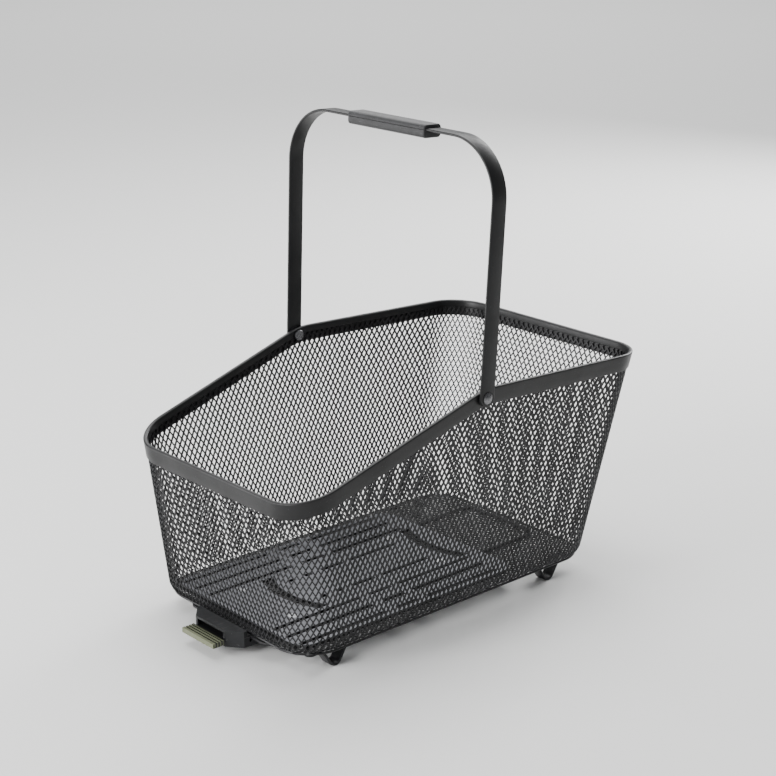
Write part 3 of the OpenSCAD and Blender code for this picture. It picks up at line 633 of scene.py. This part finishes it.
FRONT_FOOT_X, REAR_FOOT_X, FOOT_Y = -138, 125, 94
for node, x, y in [("foot_front_left", FRONT_FOOT_X, FOOT_Y), ("foot_front_right", FRONT_FOOT_X, -FOOT_Y),
                   ("foot_rear_left", REAR_FOOT_X, FOOT_Y), ("foot_rear_right", REAR_FOOT_X, -FOOT_Y)]:
    foot = strap(node + "_strap", foot_path, foot_width, FOOT_T, standing_at(x, y))
    finish_piece(foot, wire_coat, "black_steel", "basket", node)

# %% [markdown]
# ## Grip
# Two moulded halves close round the strap and meet in a fine seam. Each half is its own section carried along
# the grip, drawn in at both ends by a small radius.

# %% Grip halves
GRIP_LEN, GRIP_W, GRIP_END = 100.0, 20.5, 1.8


def grip_half(name, low, high, r_low, r_high):
    """A rectangle with its own radius at each pair of corners, shrunk at the ends like a quarter circle."""
    w = GRIP_W / 2
    ring = np.concatenate([arc((w - r_high, high - r_high), r_high, 0, 90),
                           arc((r_high - w, high - r_high), r_high, 90, 180),
                           arc((r_low - w, low + r_low), r_low, 180, 270),
                           arc((w - r_low, low + r_low), r_low, 270, 360)])
    t = np.linspace(0, np.pi / 2, 7)
    y_end, inset_end = GRIP_END * (1 - np.cos(t)), GRIP_END * (1 - np.sin(t))
    y = np.concatenate([y_end - GRIP_LEN / 2, (GRIP_LEN / 2 - y_end)[::-1]])
    inset = np.concatenate([inset_end, inset_end[::-1]])[:, None]
    middle = (low + high) / 2
    x = ring[:, 0] * (1 - inset / w)
    z = middle + (ring[:, 1] - middle) * (1 - inset / w)
    points = leaning(x, y[:, None] + 0 * x, HANDLE_H + z)
    faces = [list(f) for f in grid_faces(*x.shape)]
    faces += [list(range(x.shape[1]))[::-1], list(range(x.size - x.shape[1], x.size))]
    return tidy(new_piece(name, points, faces), sharp_degrees=50)


upper = grip_half("grip_top_shell", 0.12, 4.3, 0.5, 3.4)
lower = grip_half("grip_bottom_shell", -7.4, -0.12, 3.4, 0.5)
finish_piece(upper, grip_skin, "grip_plastic", "handle", "grip_upper")
finish_piece(lower, grip_skin, "grip_plastic", "handle", "grip_lower")

# %% [markdown]
# ## Rivets and spring
# A rivet is turned, so its side view is a profile and the shape is that profile spun about its axis. The
# torsion spring is a wire wound in a helix with a straight leg at each end: a circle carried along that
# path.

# %% Rivets
def spun(profile, segments=40):
    """Spins (radius, along) points about the Y axis: x = r cos a, z = r sin a, y = along."""
    a = np.linspace(0, 2 * np.pi, segments, endpoint=False)
    profile = np.asarray(profile, float)
    return np.stack([profile[:, 0, None] * np.cos(a), profile[:, 1, None] + 0 * a,
                     profile[:, 0, None] * np.sin(a)], axis=-1)


leg_out = leg_y + STRAP_T / 2 + 0.15
wall_in = BASE_W / 2 + SIDE_FLARE * PIVOT_Z - 2 * BAND_T - 1.5 - 0.6
dome_r, head_r = 9.0, 5.5
dome = arc((0, leg_out + 2 - dome_r), dome_r, math.degrees(math.acos(head_r / dome_r)), 90, 9)
profile = np.concatenate([[[0, wall_in - 1.4], [4.6, wall_in - 1.4], [5, wall_in - 1.0], [5, wall_in - 0.1],
                           [3, wall_in], [3, leg_out], [head_r, leg_out], [head_r, leg_out + 0.6]], dome])
left_half = spun(profile) + [PIVOT_X, 0, PIVOT_Z]
right_half = left_half * [1, -1, 1]
rows, columns = left_half.shape[:2]
rivet_points = np.concatenate([left_half.reshape(-1, 3), right_half.reshape(-1, 3)])
rivet_faces = np.concatenate([grid_faces(rows, columns), grid_faces(rows, columns, start=rows * columns)])
rivets = tidy(new_piece("domed_pivot_rivets", rivet_points, rivet_faces), sharp_degrees=40)
finish_piece(rivets, rivet_metal, "rivet_steel", "basket", "pivot_rivets")

# %% Spring
pin_low, pin_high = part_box("lever_pin")
pin_z = 500 * (pin_low[2] + pin_high[2]) - BASE_ORIGIN[2]
spin = np.linspace(np.pi, np.pi + 2 * np.pi * 4, 121)
coil_r, wire_r = 2.3, 0.4
coil = np.stack([-178 - coil_r * np.sin(spin), 9.2 + 3.6 * (spin - spin[0]) / (spin[-1] - spin[0]),
                 pin_z + coil_r * np.cos(spin)], axis=1)
leg_low = np.linspace([-184, 9.2, pin_z - coil_r], coil[0], 6)[:-1]
leg_high = np.linspace(coil[-1], [-184, 12.8, pin_z - coil_r], 6)[1:]
line = np.concatenate([leg_low, coil, leg_high])
ahead = np.gradient(line, axis=0)
ahead /= np.linalg.norm(ahead, axis=1)[:, None]
side = np.cross(ahead, [0, 1, 0])
side /= np.linalg.norm(side, axis=1)[:, None]
up_way = np.cross(side, ahead)
WIRE_SIDES = 8
ring_a = np.linspace(0, 2 * np.pi, WIRE_SIDES, endpoint=False)[None, :, None]
tube = line[:, None] + wire_r * (np.cos(ring_a) * side[:, None] + np.sin(ring_a) * up_way[:, None])
wire_points = tube.size // 3
wire_ends = [list(range(WIRE_SIDES))[::-1], list(range(wire_points - WIRE_SIDES, wire_points))]
spring_faces = [list(f) for f in grid_faces(len(line), WIRE_SIDES)] + wire_ends
spring = tidy(new_piece("wound_torsion_spring", tube, spring_faces), sharp_degrees=60)
finish_piece(spring, zinc_plate, "zinc_steel", "basket", "lever_spring")

# %% [markdown]
# ## Moulded and cut pieces with softened edges
# A CAD solid has perfectly sharp edges, and no moulding has. A copy of the solid is merged, its flat faces
# are joined again, and a small bevel catches the light along each edge. The CAD solid itself is never
# changed.

# %% Softened copies
def softened(node, name, width_mm, material, slot, body):
    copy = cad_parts[node].data.copy()
    piece = bpy.data.objects.new(name, copy)
    bpy.context.scene.collection.objects.link(piece)
    work = bmesh.new()
    work.from_mesh(copy)
    bmesh.ops.remove_doubles(work, verts=work.verts, dist=1e-6)
    bmesh.ops.dissolve_limit(work, angle_limit=math.radians(2), verts=work.verts, edges=work.edges)
    work.to_mesh(copy)
    work.free()
    copy.polygons.foreach_set("use_smooth", np.full(len(copy.polygons), True))
    copy.set_sharp_from_angle(angle=math.radians(40))
    bevel = piece.modifiers.new("softened_edges", "BEVEL")
    bevel.width, bevel.segments = width_mm / 1000, 2
    bevel.limit_method, bevel.angle_limit = "ANGLE", math.radians(40)
    bevel.harden_normals = True
    finish_piece(piece, material, slot, body, node)


softened("adapter_plate", "slotted_plate", 0.5, plate_nylon_painted_sheen_and_shade, "grey_plastic", "basket")
softened("latch_cover", "latch_nose", 0.6, nylon_cover, "cover_plastic", "basket")
softened("latch_lever", "release_lever", 0.35, green_lever, "lever_plastic", "lever")
softened("adapter_base", "clamp_base", 0.4, nylon_plate, "grey_plastic", "basket")
softened("rear_claw_left", "left_claw", 0.5, nylon_plate, "grey_plastic", "basket")
softened("rear_claw_right", "right_claw", 0.5, nylon_plate, "grey_plastic", "basket")
softened("rack_pads", "rubber_pads", 0.5, pad_rubber, "soft_rubber", "basket")

# %% [markdown]
# ## Materials on the CAD pieces that stay
# Wires, screws, nuts, washers and the bolt are shown as the CAD has them; each only needs its real finish.

# %% Finishes
finishes = {
    wire_coat: ["edge_wire", "loop_wire", "bolt_guide"],
    zinc_plate: ["adapter_screws", "adapter_nuts", "claw_screws", "guide_screws", "cover_screws", "lever_pin",
                 "latch_bolt", "grip_screws"],
    washer_nylon: ["pivot_washers"],
}
for finish, names in finishes.items():
    for name in names:
        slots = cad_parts[name].data.materials
        slots.clear()
        slots.append(finish)
print("CAD pieces given a finish:", sum(len(names) for names in finishes.values()))

# %% [markdown]
# ## Floor, light and camera
# A plain pale floor and large soft lights, as in a product studio. A dark object shows its shape by what it
# reflects, so there is a softbox on each side, one low at its front, one overhead, and a large one that
# lights the floor beyond it. The camera stands well back with a long lens, so upright lines stay upright.

# %% Floor
studio_floor = bpy.data.objects.new("studio_floor", bpy.data.meshes.new("studio_floor"))
studio_floor.data.from_pydata([(-20, -20, 0), (20, -20, 0), (20, 20, 0), (-20, 20, 0)], [], [(0, 1, 2, 3)])
bpy.context.scene.collection.objects.link(studio_floor)
floor_paint, floor_tree, floor_shader, floor_place = new_material("matt_floor_paint", Metallic=0.0,
                                                                  Roughness=0.85)
rolled = add(floor_tree, "ShaderNodeTexNoise", {"Vector": floor_place, "Scale": per_mm(6), "Detail": 2.0})
floor_bump = add(floor_tree, "ShaderNodeBump",
                 {"Height": rolled.outputs["Fac"], "Strength": 0.05, "Distance": 0.0003})
floor_tree.links.new(floor_bump.outputs["Normal"], floor_shader.inputs["Normal"])
floor_shader.inputs["Base Color"].default_value = linear("#d9d9d8")
studio_floor.data.materials.append(floor_paint)


# %% Lights
def softbox(name, place, size, watts, aim=(0.0, 0.0, 0.2)):
    """A square area light at a place in metres, turned to face a point."""
    data = bpy.data.lights.new(name, "AREA")
    data.shape, data.size, data.energy = "SQUARE", size, watts
    lamp = bpy.data.objects.new(name, data)
    lamp.location = place
    lamp.rotation_mode = "QUATERNION"
    lamp.rotation_quaternion = (Vector(aim) - Vector(place)).to_track_quat("-Z", "Y")
    bpy.context.scene.collection.objects.link(lamp)


softbox("left_softbox", (-2.0, 0.2, 0.9), 1.0, 60)
softbox("low_front_softbox", (-1.4, 1.3, 0.4), 0.8, 22)
softbox("right_softbox", (2.0, 0.5, 1.0), 1.0, 44)
softbox("overhead_softbox", (0.3, 0.5, 2.2), 1.8, 60)
softbox("backdrop_softbox", (3.2, 3.6, 3.4), 4.5, 230, aim=(3.2, 3.6, 0.0))
world = bpy.data.worlds.new("studio_air")
world.use_nodes = True
world.node_tree.nodes["Background"].inputs["Color"].default_value = linear("#e6e8ea")
world.node_tree.nodes["Background"].inputs["Strength"].default_value = 0.45
bpy.context.scene.world = world

# %% Camera
azimuth, elevation = math.radians(-41.79), math.radians(18.21)
back = np.array([math.sin(azimuth) * math.cos(elevation), -math.cos(azimuth) * math.cos(elevation),
                 math.sin(elevation)])
right = np.array([math.cos(azimuth), math.sin(azimuth), 0])
above = np.cross(back, right)
AIM_H, DISTANCE, SHIFT_RIGHT, SHIFT_UP = 127.06, 1633.8, 8.0, 46.0
eye = BASE_ORIGIN + [0, 0, AIM_H] + DISTANCE * back + SHIFT_RIGHT * right + SHIFT_UP * above
camera_data = bpy.data.cameras.new("product_camera")
camera_data.lens, camera_data.sensor_width, camera_data.clip_end = 82.9, 36.0, 100.0
camera = bpy.data.objects.new("product_camera", camera_data)
camera.location = eye / 1000
camera.rotation_mode = "QUATERNION"
camera.rotation_quaternion = Vector(-back).to_track_quat("-Z", "Y")
bpy.context.scene.collection.objects.link(camera)
bpy.context.scene.camera = camera
print("camera at", np.round(eye / 1000, 3).tolist())
